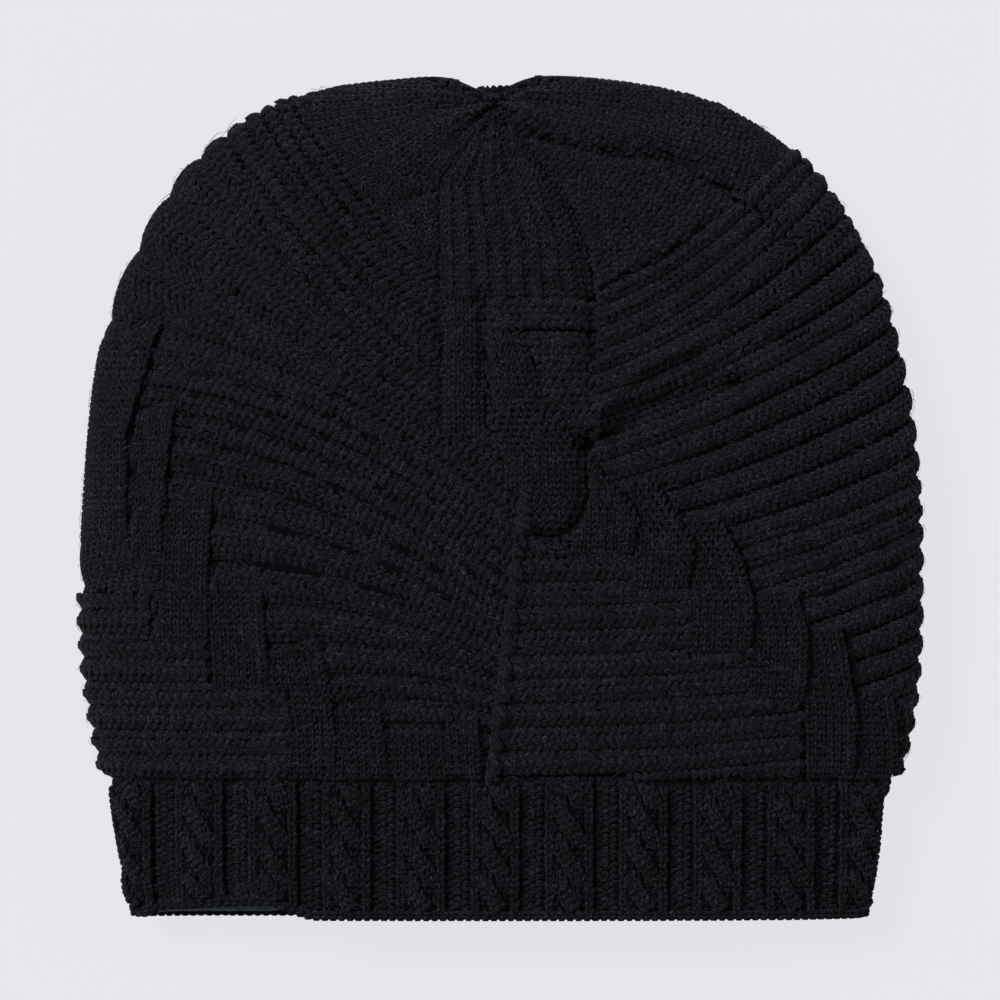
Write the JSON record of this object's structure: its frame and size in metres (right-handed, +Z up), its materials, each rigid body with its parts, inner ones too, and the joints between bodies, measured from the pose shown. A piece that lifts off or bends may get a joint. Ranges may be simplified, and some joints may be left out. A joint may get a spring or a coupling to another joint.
{
  "type": "knit beanie",
  "caption": "Slouchy knitted hat with a stepped relief pattern on the body, a cabled brim and a fleece-lined mouth, stored lying flat.",
  "frame": {"origin": "on the table, under the middle of the lying hat", "axes": "+X across the hat, +Y from the hem to the crown, +Z up from the table through the lying hat"},
  "size_m": [0.249, 0.2494, 0.04],
  "materials": {
    "body_yarn": "soft matt knitted yarn",
    "brim_yarn": "soft matt knitted yarn",
    "fleece": "napped fleece",
    "sewing_thread": "spun thread",
    "label_tape": "satin tape"
  },
  "bodies": {
    "root": {"knit_body": "body_yarn", "cable_brim": "brim_yarn", "linking_course": "brim_yarn", "bind_off_edge": "brim_yarn", "crown_gather": "body_yarn", "crown_draw_yarn": "body_yarn", "back_seam": "body_yarn", "fleece_lining": "fleece", "lining_top_stitch": "sewing_thread", "lining_hem_stitch": "sewing_thread", "lining_join": "fleece", "care_label": "label_tape", "label_tacks": "sewing_thread"}
  },
  "joints": []
}
